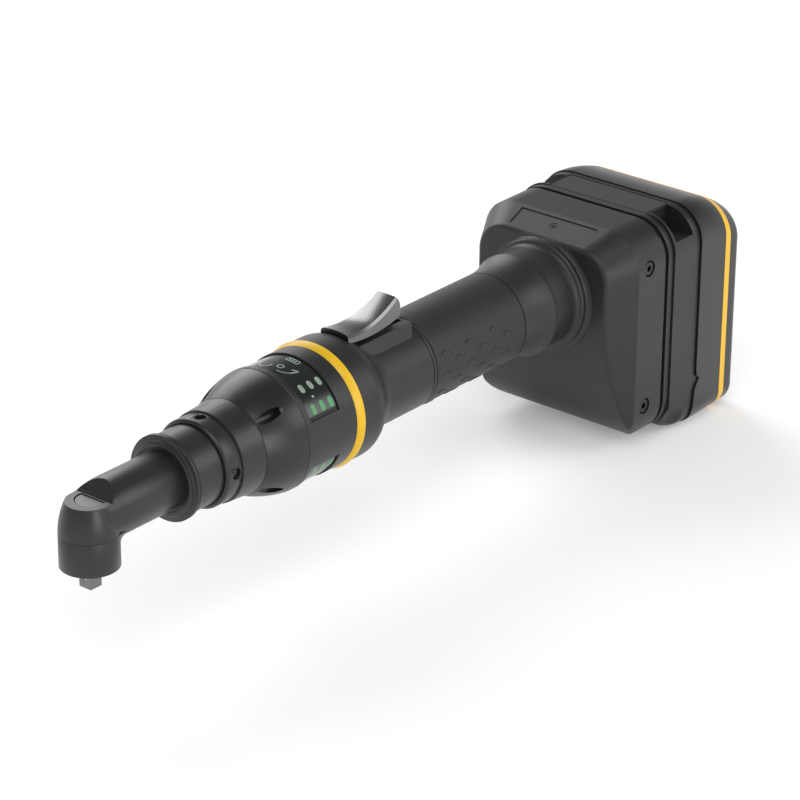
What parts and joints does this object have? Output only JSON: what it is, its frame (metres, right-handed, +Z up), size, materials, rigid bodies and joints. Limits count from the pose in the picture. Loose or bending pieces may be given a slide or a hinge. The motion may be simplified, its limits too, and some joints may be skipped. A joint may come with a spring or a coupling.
{
  "type": "cordless nutrunner",
  "caption": "Battery nutrunner with an angle head and square drive, a ring of displays and lamps, a trigger lever on a round handle, and a slide-on battery.",
  "frame": {"origin": "centre of the square drive's end face", "axes": "+X along the tool's long axis from the head to the battery, +Z up through the head, against the way the square drive points, +Y to the tool's left seen from the battery"},
  "size_m": [0.3875, 0.088, 0.1062],
  "materials": {
    "black_casting": "satin",
    "black_cover": "satin",
    "grey_cap": "satin",
    "black_collar": "satin",
    "black_sleeve": "satin",
    "drive_steel": "satin",
    "gear_steel": "ground",
    "bearing_steel": "polished",
    "bronze": "plain",
    "magnet": "plated",
    "laminations": "stacked",
    "copper": "enamelled",
    "can_metal": "plain",
    "tube_metal": "plain",
    "cone_plastic": "satin",
    "lens": "clear",
    "ring_plastic": "satin",
    "window": "gloss",
    "circuit_board": "coated",
    "yellow": "satin",
    "handle_plastic": "satin",
    "grip_rubber": "matt",
    "lever_metal": "brushed",
    "switch_plastic": "plain",
    "housing_plastic": "satin",
    "screw_steel": "blackened",
    "seal_rubber": "matt",
    "contact_copper": "plated",
    "battery_plastic": "satin",
    "battery_gloss": "gloss",
    "key_plastic": "gloss",
    "spring_steel": "plain",
    "cell_sleeve": "wrapped",
    "stripe": "gloss"
  },
  "bodies": {
    "tool": {"head_cover": "black_cover", "head_casting": "black_casting", "head_cap": "grey_cap", "spindle_bush": "bronze", "spindle_bearing": "bearing_steel", "spindle_retainer": "drive_steel", "shaft_bearings": "bearing_steel", "locking_collar": "black_collar", "adapter_sleeve": "black_sleeve", "coupling_nut": "black_collar", "gear_case": "black_sleeve", "carrier_bearing": "bearing_steel", "ring_gear": "gear_steel", "stator": "laminations", "motor_windings": "copper", "motor_case": "can_metal", "motor_bearings": "bearing_steel", "nose_cone": "cone_plastic", "lamp_lenses": "lens", "core_tube": "tube_metal", "display_ring": "ring_plastic", "display_windows": "window", "ring_boards": "circuit_board", "accent_ring": "yellow", "body_shell": "handle_plastic", "pivot_pin": "gear_steel", "switch_case": "switch_plastic", "handle_tube": "tube_metal", "handle_band": "handle_plastic", "grip_sleeve": "grip_rubber", "handle_flare": "handle_plastic", "adapter_housing": "housing_plastic", "access_panel": "housing_plastic", "access_panel_screw": "screw_steel", "side_screws": "screw_steel", "housing_seal": "seal_rubber", "rear_plate": "housing_plastic", "terminal_blades": "contact_copper", "control_board": "circuit_board", "drive_board": "circuit_board"},
    "spindle": {"drive_spindle": "drive_steel", "crown_gear": "gear_steel"},
    "socket_pin": {"retaining_pin": "gear_steel"},
    "drive_train": {"pinion_shaft": "gear_steel", "planet_carrier": "gear_steel"},
    "planet_1": {"planet_gear_1": "gear_steel"},
    "planet_2": {"planet_gear_2": "gear_steel"},
    "planet_3": {"planet_gear_3": "gear_steel"},
    "rotor": {"rotor_shaft": "gear_steel", "rotor_magnets": "magnet"},
    "trigger": {"trigger_lever": "lever_metal"},
    "plunger": {"switch_plunger": "switch_plastic"},
    "battery": {"battery_frame": "battery_plastic", "battery_shell": "battery_gloss", "battery_stripe": "stripe", "release_springs": "spring_steel", "battery_cells": "cell_sleeve", "cell_holders": "switch_plastic", "terminal_block": "switch_plastic"},
    "release_key": {"release_panel": "key_plastic"}
  },
  "joints": [
    {"name": "rotor_spin", "type": "hinge", "parent": "tool", "child": "rotor", "pos_m": [0.13, 0, 0.03], "axis": [1, 0, 0], "continuous": true},
    {"name": "drive_shaft_spin", "type": "hinge", "parent": "tool", "child": "drive_train", "pos_m": [0.035, 0, 0.03], "axis": [1, 0, 0], "continuous": true},
    {"name": "planet_1_spin", "type": "hinge", "parent": "drive_train", "child": "planet_1", "pos_m": [0.089, 0, 0.039], "axis": [1, 0, 0], "continuous": true},
    {"name": "planet_2_spin", "type": "hinge", "parent": "drive_train", "child": "planet_2", "pos_m": [0.089, -0.00779, 0.0255], "axis": [1, 0, 0], "continuous": true},
    {"name": "planet_3_spin", "type": "hinge", "parent": "drive_train", "child": "planet_3", "pos_m": [0.089, 0.00779, 0.0255], "axis": [1, 0, 0], "continuous": true},
    {"name": "square_drive_spin", "type": "hinge", "parent": "tool", "child": "spindle", "pos_m": [0, 0, 0], "axis": [0, 0, 1], "continuous": true},
    {"name": "retaining_pin_press", "type": "slide", "parent": "spindle", "child": "socket_pin", "axis": [1, 0, 0], "range_m": [0, 0.0008], "stiffness_N_per_m": 400, "springref_m": -0.0005},
    {"name": "trigger_press", "type": "hinge", "parent": "tool", "child": "trigger", "pos_m": [0.15, 0, 0.0496], "axis": [0, 1, 0], "range_deg": [0, 4], "stiffness_Nm_per_rad": 1, "springref_deg": -3.44},
    {"name": "plunger_press", "type": "slide", "parent": "tool", "child": "plunger", "axis": [0, 0, -1], "range_m": [0, 0.0017]},
    {"name": "battery_slide", "type": "slide", "parent": "tool", "child": "battery", "axis": [0, 0, 1], "range_m": [0, 0.066]},
    {"name": "release_press", "type": "slide", "parent": "battery", "child": "release_key", "axis": [0, 0, -1], "range_m": [0, 0.0025], "stiffness_N_per_m": 600, "springref_m": -0.003, "deforming": ["release_springs"]}
  ],
  "couplings": [
    {"joint": "drive_shaft_spin", "follows": "rotor_spin", "ratio": 0.25},
    {"joint": "planet_1_spin", "follows": "rotor_spin", "ratio": -0.75},
    {"joint": "planet_2_spin", "follows": "rotor_spin", "ratio": -0.75},
    {"joint": "planet_3_spin", "follows": "rotor_spin", "ratio": -0.75},
    {"joint": "square_drive_spin", "follows": "rotor_spin", "ratio": 0.16667},
    {"joint": "plunger_press", "follows": "trigger_press", "m_per_rad": 0.022}
  ]
}
